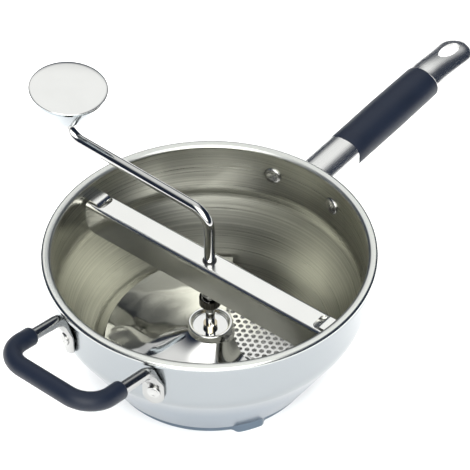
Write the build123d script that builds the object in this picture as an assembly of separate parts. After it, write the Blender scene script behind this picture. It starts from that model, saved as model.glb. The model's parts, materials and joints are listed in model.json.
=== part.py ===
"""Hand-cranked food mill: bowl with milling disc, sprung crossbar, crank with blade, and two handles.

Frame: millimetres, +Z up. The origin is the centre of the outlet collar's bottom edge, on the bowl's axis.
The long handle points along +X, the helper handle along -X, and the crossbar lies along Y.
"""
import os
from math import asin, cos, degrees, pi, radians, sin, tan

from build123d import *

# ---------------------------------------------------------------- driving dimensions
SHEET = 1.0                  # bowl sheet thickness
RIM_Z = 95.0                 # top of the flared rim
RIM_R = 105.5                # outside of the flared rim
RIM_LIP = 2.4                # how far the rim's edge turns down
WALL_R = 99.8                # outside of the bowl wall
WALL_FOOT_Z = 56.5           # height where the wall and the conical floor would meet
WALL_FOOT_R = 20.0           # outside radius between them
SHOULDER_R = 71.2            # outside of the cone's lower end
SHOULDER_Z = 6.5             # underside of the shoulder that carries the disc
COLLAR_R = 67.5              # outside of the outlet collar
COLLAR_TOP_Z = 5.5           # where the collar's inside starts to open out
POCKET_R = 71.0              # outside of the collar's three pressed-out pockets
POCKET_WIDTH = 20.0
POCKET_ANGLES = (0, 120, 240)
SEAM = 0.3                   # gap kept between parts that move past each other
RUNNING = 0.06               # radial clearance of a shaft in its hole

DISC_R = 69.6
DISC_THICK = 1.0
HOLE_R = 1.5                 # perforations of the milling disc
HOLE_PITCH = 4.8
PERFORATED_R = (12.0, 64.0)  # inner and outer limit of the perforated field

ROD_R = 3.5                  # crank rod
POST_R = 3.0                 # lower end of the crank rod
POST_TIP_Z = 7.0
ROD_STEP_Z = 45.7            # where the rod narrows to the post
CRANK_Z = 122.0              # height of the crank's first bend
CRANK_ANGLE = 92.7           # direction of the crank arm, about Z from +X
CRANK_REACH = 112.2
CRANK_RISE = 5.8             # upward slope of the arm, degrees
CRANK_BENDS = (13.0, 12.0)
STEM_LENGTH = 33.8           # from the second bend to the rod's end inside the knob
KNOB_START = 12.8            # along the stem, from the bend to the knob's lower end
KNOB_R = 24.9
KNOB_HEIGHT = 24.6           # from the knob's lower end to the cap

BAR_TOP_Z = 84.0
BAR_BOTTOM_Z = 62.0
BAR_WIDTH = 17.5
BAR_HALF = 96.5              # half of the crossbar's length
BAR_SHEET = 1.2
NOTCH_WIDTH = 13.0
NOTCH_DEPTH = 12.0
POCKET_FLOOR_Z = 80.0        # floor of the recess that the lug presses on
BUSH_HOLE_R = 4.5            # hole in the crossbar for the rod's bush
BUSH_FLANGE = 1.2            # thickness of the bush's flange
LUG_WIDTH = 11.5
LUG_THICK = 1.6
LUG_REACH_Y = 87.4           # inner face of the lug's hooked end
LUG_TOP_Z = 85.6

BLADE_R = 69.0
BLADE_THICK = 1.2
BLADE_LOW_Z = 8.9            # underside of the trailing edge
BLADE_RISE = 14.0            # how much higher the leading edge stands
BLADE_CURVE = 2.2            # how late along the sweep the blade rises
TRAILING_ANGLE = -101.0
LEADING_ANGLE = 34.0
EDGE_OFFSET = 9.0            # distance of both blade edges from the axis
HUB_TOP_Z = 31.0
HUB_FLOOR_Z = 27.0
HUB_FLOOR_THICK = 1.5
HUB_RIM_R = (11.6, 14.3)     # inner and outer radius of the hub's rim
HUB_FLANK = ((14.7, 28.0), (17.5, 18.0), (21.0, 12.3))  # radius and height down the hub's outside
HEM_FROM_AXIS = (24.0, 66.0)
HEM_SIZE = (2.4, 2.2)        # width and height of the hem along the trailing edge
PIN_Z = 31.0                 # bar across the post, above the hub's collar
PIN_ANGLE = 52.7

SEAT_Z = 47.0                # underside of the spring cup
SEAT_TOP_Z = 52.5
SEAT_R = 7.0
SEAT_SHEET = 1.2             # thickness of the cup's floor
SPRING_WIRE_R = 0.6
SPRING_R = 5.2
SPRING_TURNS = 6.5

HANDLE_TILT = 2.23           # the long handle rises outwards
HANDLE_START = Vector(142.0, 0, 80.3)   # centre of the grip's inner end
GRIP_LENGTH = 90.0
CAP_LENGTH = 51.0
GRIP_SIZE = (13.6, 10.8)     # half width and half height
NECK_SIZE = (12.8, 10.4)
CORE_SIZE = (11.0, 8.6)
TUBE_WALL = 1.5
BRACKET_THICK = 2.0
BRACKET_Z = (66.5, 87.5)     # lower and upper edge of the bracket
HANDLE_RIVET_ANGLE = 14.2
HANDLE_RIVET_Z = 77.0

HELPER_Y = 35.6              # half of the distance between the helper handle's legs
HELPER_X = -152.0            # centre of its cross part
HELPER_Z = 98.0
HELPER_BEND_Z = 87.5
HELPER_TUBE_R = 3.9
HELPER_SLEEVE_R = 5.9
HELPER_SLEEVE_X = -123.5
HELPER_RIVET_Z = 68.0
FOOT_THICK = 3.2
FOOT_WIDTH = 14.0
FOOT_Z = (57.0, 81.0)        # lower and upper edge of the flattened feet
RIVET_SHANK_R = 2.5
HANDLE_RIVET_HEADS = (6.0, 4.5)   # radius of the head inside the bowl and of the tail outside
HELPER_RIVET_HEADS = (5.0, 4.2)

# ---------------------------------------------------------------- helpers


def polar(radius, angle, height=0.0):
    """Point at a radius and an angle in degrees about Z."""
    return Vector(radius * cos(radians(angle)), radius * sin(radians(angle)), height)


def offset_points(points, distance):
    """Points of an open polyline moved to its left, with mitred corners."""
    points = [Vector(*p) for p in points]
    headings = [(b - a).normalized() for a, b in zip(points, points[1:])]
    lefts = [Vector(-h.Y, h.X) for h in headings]
    moved = [points[0] + lefts[0] * distance]
    for point, before, after in zip(points[1:-1], lefts, lefts[1:]):
        mitre = (before + after).normalized()
        moved.append(point + mitre * (distance / mitre.dot(before)))
    moved.append(points[-1] + lefts[-1] * distance)
    return moved


def sheet_face(points, radii, thickness):
    """Section of bent sheet: the path gives its right side, and the sheet lies to the path's left."""
    inner_points = offset_points(points, thickness)
    inner_radii = []
    corners = zip(points, points[1:], points[2:])
    for radius, (a, b, c) in zip(radii, corners):
        turn = (b[0] - a[0]) * (c[1] - b[1]) - (b[1] - a[1]) * (c[0] - b[0])
        inner_radii.append(radius - thickness if turn > 0 else radius + thickness)
    right = FilletPolyline(*points, radius=radii)
    left = FilletPolyline(*inner_points, radius=inner_radii)
    ends = [Line(right @ 1, left @ 1), Line(left @ 0, right @ 0)]
    return make_face([*right.edges(), *left.edges(), *ends])


def dome(radius, edge_z, top_z):
    """Arc from the edge of a spherical cap to its top, drawn as (radius, height)."""
    rise = top_z - edge_z
    sphere = (radius ** 2 + rise ** 2) / (2 * rise)
    half = asin(radius / abs(sphere)) / 2
    middle = (abs(sphere) * sin(half), top_z - sphere * (1 - cos(half)))
    return ThreePointArc((radius, edge_z), middle, (0, top_z))


def lathe(profile):
    """Turn a face drawn as (radius, height) about Z."""
    return revolve(Plane.XZ * profile, axis=Axis.Z)


def ring(inner, outer, low, high):
    """Plain ring about Z, or a plain disc where the inner radius is 0."""
    face = Circle(outer) - Circle(inner) if inner else Circle(outer)
    return Pos(0, 0, low) * extrude(face, amount=high - low)


def arc_block(inner, outer, low, high, width):
    """Block across +X between two radii about Z."""
    blank = Pos((outer + 5) / 2, 0, (low + high) / 2) * Box(outer + 5, width, high - low)
    return blank & ring(inner, outer, low, high)


def rod_between(start, end, radius):
    """Round bar from one point to another."""
    start, end = Vector(*start), Vector(*end)
    return extrude(Plane(origin=start, z_dir=end - start) * Circle(radius), amount=(end - start).length)


def pipe(path, radius):
    """Round bar along a path."""
    return sweep(Plane(origin=path @ 0, z_dir=path % 0) * Circle(radius), path=path)


def wedge_of_wall(inner, outer, low, high, angle, half_width, corner):
    """Rounded plate bent to a cylinder about Z, seen square-on from outside at an angle."""
    face = Plane(origin=(0, 0, (low + high) / 2), x_dir=(0, 1, 0), z_dir=(1, 0, 0))
    blank = extrude(face * RectangleRounded(2 * half_width, high - low, corner), amount=outer + 1)
    return Rot(0, 0, angle) * (blank & ring(inner, outer, low - 1, high + 1))


# ---------------------------------------------------------------- hopper

def bowl():
    """Deep-drawn bowl: collar with three pockets, shoulder, conical floor, wall and flared rim."""
    rim_under = RIM_Z - SHEET
    path = [(COLLAR_R, 0), (COLLAR_R, SHOULDER_Z), (SHOULDER_R, SHOULDER_Z), (WALL_R, WALL_FOOT_Z),
            (WALL_R, rim_under), (RIM_R - SHEET, rim_under), (RIM_R - SHEET, rim_under - RIM_LIP)]
    between_pockets = (POCKET_ANGLES[0] + POCKET_ANGLES[1]) / 2
    shell = Rot(0, 0, between_pockets) * lathe(sheet_face(path, [0.6, 2.0, WALL_FOOT_R, 1.6, 1.2], SHEET))
    top = SHOULDER_Z + SHEET
    for angle in POCKET_ANGLES:
        outside = arc_block(COLLAR_R - SHEET, POCKET_R, 0, top, POCKET_WIDTH)
        shell += Rot(0, 0, angle) * outside
    for angle in POCKET_ANGLES:
        inside = arc_block(COLLAR_R - 3, POCKET_R - SHEET, -1, top, POCKET_WIDTH - 2 * SHEET)
        shell -= Rot(0, 0, angle) * inside
    shell -= mouth_chamfer()
    for shank in handle_shanks() + helper_shanks():
        shell -= shank
    return shell


def mouth_chamfer():
    """Cone that opens the collar's inside, pocket sides included, up to the shoulder."""
    inner, top = COLLAR_R - SHEET, SHOULDER_Z + SHEET
    wide = inner + (top - COLLAR_TOP_Z) / 2
    bore_side = inner - 1
    corners = [(bore_side, COLLAR_TOP_Z), (inner, COLLAR_TOP_Z), (wide, top), (bore_side, top)]
    return lathe(make_face(Polyline(*corners, close=True)))


def lug(bowl_solid, side):
    """Strip welded to the wall, with its end hooked down into the crossbar's notch."""
    path = [(WALL_R, LUG_TOP_Z), (LUG_REACH_Y, LUG_TOP_Z), (LUG_REACH_Y, POCKET_FLOOR_Z + 0.2)]
    strip = extrude(Plane.YZ * sheet_face(path, [3.4], LUG_THICK), amount=LUG_WIDTH / 2, both=True)
    strip = strip & ring(0, WALL_R - SHEET, 0, RIM_Z)
    return Rot(0, 0, 0 if side > 0 else 180) * strip - bowl_solid


def disc():
    """Perforated milling disc with a locating tongue in each pocket of the collar."""
    seat_z = SHOULDER_Z + SHEET
    at = Plane(origin=(0, 0, seat_z))
    wires = [Wire.make_circle(POST_R + RUNNING, at)]
    row_height = HOLE_PITCH * sin(pi / 3)
    rows = int(PERFORATED_R[1] / row_height) + 1
    for row in range(-rows, rows + 1):
        shift = HOLE_PITCH / 2 * (row % 2)
        for column in range(-rows, rows + 1):
            x, y = column * HOLE_PITCH + shift, row * row_height
            if PERFORATED_R[0] < Vector(x, y).length < PERFORATED_R[1]:
                wires.append(Wire.make_circle(HOLE_R, Plane(origin=(x, y, seat_z))))
    plate = extrude(Face(Wire.make_circle(DISC_R, at), wires), amount=DISC_THICK)
    tongue = Pos(DISC_R - 1.5, 0, seat_z - 2) * Box(2.0, POCKET_WIDTH - 6, 4)
    for angle in POCKET_ANGLES:
        plate += Rot(0, 0, angle) * tongue
    return plate


# ---------------------------------------------------------------- long handle

def handle_plane(distance):
    """Plane square to the long handle's axis, at a distance outwards from the grip's inner end."""
    heading = Vector(cos(radians(HANDLE_TILT)), 0, sin(radians(HANDLE_TILT)))
    return Plane(origin=HANDLE_START + heading * distance, x_dir=(0, 1, 0), z_dir=heading)


def oval_bar(size, start, length):
    """Solid of oval section along the handle's axis."""
    return extrude(handle_plane(start) * Ellipse(*size), amount=length)


def shanks(angles, height, outer):
    """Rivet shanks through the wall, each along a radius."""
    ends = [(polar(WALL_R - SHEET - 1, a, height), polar(outer, a, height)) for a in angles]
    return [rod_between(a, b, RIVET_SHANK_R) for a, b in ends]


def handle_shanks():
    return shanks((-HANDLE_RIVET_ANGLE, HANDLE_RIVET_ANGLE), HANDLE_RIVET_Z, WALL_R + BRACKET_THICK)


def helper_angles():
    offset = degrees(asin(HELPER_Y / (WALL_R + FOOT_THICK)))
    return 180 - offset, 180 + offset


def helper_shanks():
    return shanks(helper_angles(), HELPER_RIVET_Z, WALL_R + FOOT_THICK)


def rivet(angle, height, outer, head_r, tail_r):
    """Domed head inside the wall, shank, and a flatter formed head outside."""
    at = Plane(origin=polar(WALL_R - SHEET, angle, height), z_dir=polar(-1, angle))
    head_top, tail = 2.2, 1.4
    base = Polyline((0, head_top), (0, -0.3), (head_r, -0.3), (head_r, 0.5))
    head = at * lathe(make_face([dome(head_r, 0.5, head_top), *base.edges()]))
    grip = outer - WALL_R + SHEET
    shank = at * Pos(0, 0, -grip) * extrude(Circle(RIVET_SHANK_R), amount=grip)
    base = Polyline((0, -grip - tail), (0, -grip + 0.3), (tail_r, -grip + 0.3), (tail_r, -grip - 0.3))
    return head, shank, at * lathe(make_face([dome(tail_r, -grip - 0.3, -grip - tail), *base.edges()]))


def rivets(angles, height, outer, head_r, tail_r, wall, backing):
    """Rivets with both heads cut to the curved sheet that they clamp."""
    group = []
    for angle in angles:
        head, shank, tail = rivet(angle, height, outer, head_r, tail_r)
        group.append((head - wall) + shank + (tail - backing))
    return Compound(children=[solid for piece in group for solid in piece.solids()])


def handle_bracket():
    """Plate that follows the wall and carries the neck."""
    half = (WALL_R + BRACKET_THICK) * sin(radians(HANDLE_RIVET_ANGLE)) + 8
    plate = wedge_of_wall(WALL_R, WALL_R + BRACKET_THICK, *BRACKET_Z, 0, half, 7)
    for shank in handle_shanks():
        plate -= shank
    return plate


def handle_neck():
    """Oval tube from the bracket to the grip."""
    inside = WALL_R - HANDLE_START.X
    tube = oval_bar(NECK_SIZE, inside, -inside) - oval_bar(CORE_SIZE, inside - 1, 2 - inside)
    return tube - ring(0, WALL_R + BRACKET_THICK, 0, RIM_Z)


def handle_core():
    """Tube inside the grip that joins the neck to the end cap."""
    bore = [half - TUBE_WALL for half in CORE_SIZE]
    return oval_bar(CORE_SIZE, -20, GRIP_LENGTH + 28) - oval_bar(bore, -21, GRIP_LENGTH + 30)


def handle_grip():
    """Soft sleeve over the core."""
    return oval_bar(GRIP_SIZE, 0, GRIP_LENGTH) - oval_bar(CORE_SIZE, -1, GRIP_LENGTH + 2)


def handle_end_cap():
    """Cast end with a rounded, flattened tip, hollow underneath, and a hanging slot."""
    half_width, half_height = GRIP_SIZE[0] - 0.3, GRIP_SIZE[1] - 0.2
    body = oval_bar((half_width, half_height), GRIP_LENGTH, CAP_LENGTH + 3)
    side = handle_plane(0)
    side = Plane(origin=side.origin, x_dir=side.z_dir, z_dir=(0, -1, 0))
    start, end = GRIP_LENGTH, GRIP_LENGTH + CAP_LENGTH
    above, below = half_height + 1, -half_height - 1
    outline = FilletPolyline((start - 1, above), (start + 8, above), (end, 5.5), (end, -1.5),
                             (end - 6, -3.5), (start + 8, below), (start - 1, below),
                             radius=[30, 3, 2, 6, 30])
    closing = Line(outline @ 1, outline @ 0)
    body &= extrude(side * make_face([*outline.edges(), closing]), amount=half_width + 1, both=True)
    plan = Plane(origin=side.origin, x_dir=side.x_dir, z_dir=Vector(0, 0, 1).rotate(Axis.Y, -HANDLE_TILT))
    centre = end - half_width
    top_view = Pos(centre - 40, 0) * Rectangle(80, 2 * half_width) + Pos(centre, 0) * Circle(half_width)
    body &= extrude(plan * top_view, amount=half_height + 2, both=True)
    body -= oval_bar(CORE_SIZE, GRIP_LENGTH - 1, 9)
    hollow = Pos(start + 28, 0) * SlotOverall(34, 2 * half_width - 7)
    body -= extrude(plan * hollow, amount=-half_height - 2)
    hollow_roof = Pos(start + 28, 0) * SlotOverall(32, 2 * half_width - 8)
    body -= extrude(plan * hollow_roof, amount=3.5)
    slot = Pos(start + 32, 0) * SlotOverall(22, 10.5)
    return body - extrude(plan * slot, amount=half_height + 2)


# ---------------------------------------------------------------- helper handle

def helper_path(start_x=None):
    """Centre line of the helper handle: feet, legs and cross part, or only the part beyond start_x."""
    foot = polar(WALL_R + HELPER_TUBE_R + 0.6, helper_angles()[0])
    rise = (HELPER_Z - HELPER_BEND_Z) / (HELPER_X - foot.X)
    if start_x is None:
        leg = [Vector(foot.X, foot.Y, 72), Vector(foot.X, foot.Y, HELPER_BEND_Z)]
        bends = [7, 17, 17, 7]
    else:
        leg = [Vector(start_x, foot.Y, HELPER_BEND_Z + (start_x - foot.X) * rise)]
        bends = [17, 17]
    leg.append(Vector(HELPER_X, foot.Y, HELPER_Z))
    other = [Vector(p.X, -p.Y, p.Z) for p in reversed(leg)]
    return FilletPolyline(*leg, *other, radius=bends)


def helper_handle():
    """Bent tube whose two ends are flattened into riveted feet."""
    tube = pipe(helper_path(), HELPER_TUBE_R)
    for angle in helper_angles():
        tube += wedge_of_wall(WALL_R, WALL_R + FOOT_THICK, *FOOT_Z, angle, FOOT_WIDTH / 2, 6.5)
    for shank in helper_shanks():
        tube -= shank
    return tube - ring(0, WALL_R, 50, RIM_Z)


def helper_sleeve():
    """Soft sleeve around the legs' outer ends and the cross part."""
    path = helper_path(HELPER_SLEEVE_X)
    return pipe(path, HELPER_SLEEVE_R) - pipe(path, HELPER_TUBE_R)


# ---------------------------------------------------------------- bridge

def crossbar():
    """Inverted channel with a notched recess at each end for the lugs."""
    half = BAR_WIDTH / 2
    path = [(half, BAR_BOTTOM_Z), (half, BAR_TOP_Z), (-half, BAR_TOP_Z), (-half, BAR_BOTTOM_Z)]
    bar = extrude(Plane.XZ * sheet_face(path, [2.6, 2.6], BAR_SHEET), amount=BAR_HALF, both=True)
    side = FilletPolyline((-BAR_HALF, BAR_TOP_Z + 1), (-BAR_HALF, BAR_BOTTOM_Z), (BAR_HALF, BAR_BOTTOM_Z),
                          (BAR_HALF, BAR_TOP_Z + 1), radius=[8, 8])
    side_face = make_face([*side.edges(), Line(side @ 1, side @ 0)])
    bar &= extrude(Plane.YZ * side_face, amount=BAR_WIDTH, both=True)
    inner = BAR_WIDTH - 2 * BAR_SHEET
    notch_y = BAR_HALF - NOTCH_DEPTH
    for side_angle in (0, 180):
        notch = Pos(0, BAR_HALF, POCKET_FLOOR_Z) * extrude(
            RectangleRounded(NOTCH_WIDTH, 2 * NOTCH_DEPTH, 3.5), amount=10)
        floor = Pos(0, (notch_y + BAR_HALF - BAR_SHEET) / 2, POCKET_FLOOR_Z - BAR_SHEET / 2) * Box(
            inner, NOTCH_DEPTH + BAR_SHEET, BAR_SHEET)
        riser_top = BAR_TOP_Z - BAR_SHEET
        riser = Pos(0, notch_y - BAR_SHEET / 2, (POCKET_FLOOR_Z + riser_top) / 2) * Box(
            inner, BAR_SHEET, riser_top - POCKET_FLOOR_Z)
        bar = bar - Rot(0, 0, side_angle) * notch + Rot(0, 0, side_angle) * (floor + riser)
    return bar - Pos(0, 0, BAR_TOP_Z) * Cylinder(BUSH_HOLE_R, 8)


def crossbar_bush():
    """Flanged bush that guides the crank rod."""
    bore = ROD_R + RUNNING
    under = BAR_TOP_Z - BAR_SHEET
    collar = ring(bore, BUSH_HOLE_R, under, BAR_TOP_Z + 0.4)
    return collar + ring(bore, SPRING_R + SPRING_WIRE_R + 0.1, under - BUSH_FLANGE, under)


def pressure_spring():
    """Compression coil between the bush and the cup."""
    low = SEAT_Z + SEAT_SHEET + SPRING_WIRE_R + 0.1
    high = BAR_TOP_Z - BAR_SHEET - BUSH_FLANGE - SPRING_WIRE_R - 0.1
    coil = Pos(0, 0, low) * Helix((high - low) / SPRING_TURNS, high - low, SPRING_R)
    start = Plane(origin=coil @ 0, z_dir=coil % 0)
    return sweep(start * Circle(SPRING_WIRE_R), path=coil, is_frenet=True)


def spring_cup():
    """Cup that carries the spring and hangs on the crank rod's ring."""
    floor = ring(ROD_R + RUNNING, SEAT_R, SEAT_Z, SEAT_Z + SEAT_SHEET)
    return floor + ring(SEAT_R - 0.8, SEAT_R, SEAT_Z, SEAT_TOP_Z)


# ---------------------------------------------------------------- crank

def stem_direction():
    return polar(-sin(radians(CRANK_RISE)), CRANK_ANGLE, cos(radians(CRANK_RISE)))


def crank_corner():
    return polar(CRANK_REACH, CRANK_ANGLE, CRANK_Z + CRANK_REACH * tan(radians(CRANK_RISE)))


def knob_plane(distance):
    """Plane square to the knob's stem, at a distance above the crank's second bend."""
    return Plane(origin=crank_corner() + stem_direction() * distance, z_dir=stem_direction())


def crank_rod():
    """Bent rod: post at the bottom, upright, rising arm, and the stem inside the knob."""
    path = FilletPolyline((0, 0, ROD_STEP_Z), (0, 0, CRANK_Z), crank_corner(), knob_plane(STEM_LENGTH).origin,
                          radius=list(CRANK_BENDS))
    post = Pos(0, 0, POST_TIP_Z) * extrude(Circle(POST_R), amount=ROD_STEP_Z - POST_TIP_Z)
    tip = chamfer(post.edges().sort_by(Axis.Z)[0], 1)
    return pipe(path, ROD_R) + tip - pin_bar()


def pin_bar():
    """Round bar across the post."""
    return Rot(0, 0, PIN_ANGLE) * Pos(0, 0, PIN_Z) * Rot(0, 90, 0) * Cylinder(1.1, 10)


def seat_ring():
    """Ring fixed on the rod under the spring cup."""
    return ring(ROD_R, 5.0, SEAT_Z - 1.3, SEAT_Z - SEAM)


def hub_collar():
    """Collar around the post, under the pin."""
    return ring(POST_R, 4.5, HUB_FLOOR_Z, PIN_Z - 1.1 - SEAM)


def blade_hub():
    """Pressed boss with a recessed top, from which the blade spreads."""
    foot_r = HUB_FLANK[-1][0]
    floor_under = HUB_FLOOR_Z - HUB_FLOOR_THICK
    inner_r, outer_r = HUB_RIM_R
    inside = [(foot_r - 1.5, 12.0), (16.1, 17.5), (13.2, floor_under), (POST_R, floor_under)]
    outline = Polyline((outer_r, HUB_TOP_Z), *HUB_FLANK, (foot_r, BLADE_LOW_Z),
                       (foot_r - 1.5, BLADE_LOW_Z), *inside, (POST_R, HUB_FLOOR_Z),
                       (inner_r, HUB_FLOOR_Z), (inner_r, HUB_TOP_Z), close=True)
    return lathe(make_face(outline))


def blade_height(sweep_part):
    """Height of the blade's mid surface, from 0 at the trailing edge to 1 at the leading edge."""
    return BLADE_LOW_Z + BLADE_THICK / 2 + BLADE_RISE * sweep_part ** BLADE_CURVE


def blade():
    """Helical plate around the hub, with a stiffening hem along its low trailing edge."""
    start_r = HUB_RIM_R[1] - 1.8
    steps, rays = 8, 24
    grid = []
    for i in range(steps + 1):
        radius = start_r + (BLADE_R - start_r) * i / steps
        spread = degrees(asin(EDGE_OFFSET / radius))
        first = LEADING_ANGLE - spread
        last = 360 + TRAILING_ANGLE + spread
        parts = [1 - j / rays for j in range(rays + 1)]
        grid.append([polar(radius, last + (first - last) * part, blade_height(part)) for part in parts])
    surface = Face.make_surface_from_array_of_points(grid)
    plate = thicken(surface, amount=BLADE_THICK / 2, both=True)
    foot_r, hub_high = HUB_FLANK[-1][0], HUB_FLANK[0][1]
    hub_outline = Polyline((0, 0), (foot_r, 0), *reversed(HUB_FLANK), (0, hub_high), close=True)
    width, height = HEM_SIZE
    bar = Box(HEM_FROM_AXIS[1] - HEM_FROM_AXIS[0], width, height)
    hem = Pos(sum(HEM_FROM_AXIS) / 2, EDGE_OFFSET + width / 2, BLADE_LOW_Z + height / 2) * bar
    return plate + Rot(0, 0, TRAILING_ANGLE) * hem - lathe(make_face(hub_outline))


# ---------------------------------------------------------------- knob

def knob_base():
    """Flared shell under the cap."""
    path = [(5.9, 0.3), (10.6, 1.8), (KNOB_R - 0.4, KNOB_HEIGHT - 0.6)]
    flare = sheet_face(path, [9.5], SHEET)
    neck = ring(ROD_R + 1.1, 6.0, 0, 3.0)
    return knob_plane(KNOB_START) * (lathe(flare) + neck)


def knob_cap():
    """Slightly domed disc with a crisp edge."""
    edge_z, top_z = KNOB_HEIGHT + 0.7, KNOB_HEIGHT + 2.6
    base = Polyline((0, top_z), (0, KNOB_HEIGHT), (KNOB_R, KNOB_HEIGHT), (KNOB_R, edge_z))
    return knob_plane(KNOB_START) * lathe(make_face([dome(KNOB_R, edge_z, top_z), *base.edges()]))


def knob_bush():
    """Bush that turns on the stem."""
    return knob_plane(KNOB_START) * ring(ROD_R + RUNNING, ROD_R + 1.1, 0, 18)


def knob_retainer():
    """Ring pressed on the stem, which keeps the knob on."""
    return knob_plane(KNOB_START) * ring(ROD_R, 5.4, 18.3, 19.5)


# ---------------------------------------------------------------- build

def build():
    hopper = bowl()
    bracket = handle_bracket()
    helper = helper_handle()
    turn = (-HANDLE_RIVET_ANGLE, HANDLE_RIVET_ANGLE)
    return {
        "bowl": hopper,
        "lug_rear": lug(hopper, 1),
        "lug_front": lug(hopper, -1),
        "milling_disc": disc(),
        "handle_bracket": bracket,
        "handle_neck": handle_neck(),
        "handle_core": handle_core(),
        "handle_grip": handle_grip(),
        "handle_end_cap": handle_end_cap(),
        "handle_rivets": rivets(turn, HANDLE_RIVET_Z, WALL_R + BRACKET_THICK, *HANDLE_RIVET_HEADS,
                                hopper, bracket),
        "helper_handle": helper,
        "helper_sleeve": helper_sleeve(),
        "helper_rivets": rivets(helper_angles(), HELPER_RIVET_Z, WALL_R + FOOT_THICK, *HELPER_RIVET_HEADS,
                                hopper, helper),
        "crossbar": crossbar(),
        "crossbar_bush": crossbar_bush(),
        "pressure_spring": pressure_spring(),
        "spring_cup": spring_cup(),
        "crank_rod": crank_rod(),
        "seat_ring": seat_ring(),
        "drive_pin": pin_bar(),
        "hub_collar": hub_collar(),
        "blade_hub": blade_hub(),
        "blade": blade(),
        "knob_retainer": knob_retainer(),
        "knob_base": knob_base(),
        "knob_cap": knob_cap(),
        "knob_bush": knob_bush(),
    }


os.makedirs("parts", exist_ok=True)
for name, piece in build().items():
    export_step(piece, f"parts/{name}.step")
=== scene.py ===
"""Hand-cranked food mill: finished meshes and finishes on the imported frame.

Shapes are worked out in millimetres, in the frame's own axes, and become metres when a piece is made.
"""
import json
from math import asin, cos, degrees, pi, radians, sin, sqrt, tan

import bmesh
import bpy
from mathutils import Matrix, Vector


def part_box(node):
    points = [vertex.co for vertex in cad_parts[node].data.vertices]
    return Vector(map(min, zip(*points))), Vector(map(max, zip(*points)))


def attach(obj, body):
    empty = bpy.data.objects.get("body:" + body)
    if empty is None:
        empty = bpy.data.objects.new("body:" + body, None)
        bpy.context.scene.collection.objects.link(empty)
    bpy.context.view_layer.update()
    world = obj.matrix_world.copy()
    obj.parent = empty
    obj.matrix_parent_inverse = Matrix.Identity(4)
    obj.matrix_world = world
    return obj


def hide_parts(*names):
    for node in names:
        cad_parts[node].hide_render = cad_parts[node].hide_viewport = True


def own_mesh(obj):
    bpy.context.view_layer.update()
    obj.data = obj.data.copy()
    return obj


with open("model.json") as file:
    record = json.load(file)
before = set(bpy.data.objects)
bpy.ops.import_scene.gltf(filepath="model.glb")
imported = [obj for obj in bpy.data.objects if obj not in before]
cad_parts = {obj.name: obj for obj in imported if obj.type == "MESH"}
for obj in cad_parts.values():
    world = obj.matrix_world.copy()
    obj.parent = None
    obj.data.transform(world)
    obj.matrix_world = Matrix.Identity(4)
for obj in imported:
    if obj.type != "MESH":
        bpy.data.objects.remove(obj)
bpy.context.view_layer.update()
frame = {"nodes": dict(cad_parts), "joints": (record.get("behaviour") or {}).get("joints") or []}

bl_info = {
    "name": "Food Mill",
    "version": (1, 0, 0),
    "blender": (4, 5, 0),
    "location": "3D View > Sidebar > Food Mill",
    "description": "Builds a hand-cranked food mill with its studio",
    "category": "Object",
}

MM = 0.001


def box_mm(node):
    """Lowest and highest corner of a node of the frame, in millimetres."""
    low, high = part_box(node)
    return low / MM, high / MM


BOWL_HIGH = box_mm("bowl")[1]
RIM_R, RIM_Z = BOWL_HIGH.x, BOWL_HIGH.z
DISC_R = box_mm("milling_disc")[1].y
DISC_TOP = box_mm("milling_disc")[1].z
DISC_LOW = DISC_TOP - 1.0
KNOB_JOINT = next(joint for joint in frame["joints"] if joint["name"] == "knob_spin")
CRANK_CORNER = Vector(KNOB_JOINT["pos_m"]) / MM
STEM = Vector(KNOB_JOINT["axis"])

SHEET = 1.0
WALL_R = 99.8
WALL_FOOT_Z = 56.5
WALL_FOOT_R = 20.0
SHOULDER_R = 71.2
SHOULDER_Z = 6.5
COLLAR_R = 67.5
POCKET_R = 71.0
POCKET_HALF = 10.0
POCKET_ANGLES = (0, 120, 240)

ROD_R = 3.5
POST_R = 3.0
ROD_STEP_Z = 45.7
CRANK_Z = 122.0
CRANK_BENDS = (13.0, 12.0)
STEM_LENGTH = 33.8
KNOB_START = 12.8
KNOB_R = 24.9
KNOB_HEIGHT = 24.6

BLADE_R = 69.0
BLADE_THICK = 1.2
BLADE_LOW_Z = 8.9
BLADE_RISE = 14.0
BLADE_CURVE = 2.2
TRAILING_ANGLE = -101.0
LEADING_ANGLE = 34.0
EDGE_OFFSET = 9.0
HUB_TOP_Z = 31.0
HUB_FLOOR_Z = 27.0

HANDLE_TILT = 2.23
HANDLE_START = Vector((142.0, 0, 80.3))
GRIP_LENGTH = 90.0
CAP_LENGTH = 51.0
NECK_SIZE = (12.8, 10.4)
HANDLE_RIVET_ANGLE = 14.2
HANDLE_RIVET_Z = 77.0

HELPER_Y = 35.3
HELPER_X = -151.0
HELPER_Z = 98.0
HELPER_BEND_Z = 87.5
HELPER_TUBE_R = 3.9
HELPER_RIVET_Z = 68.0
HELPER_SLEEVE_X = -124.8
FOOT_TIP_Z = 57.5

SEAT_TOP = 48.3
SPRING_TOP = 81.5

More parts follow.
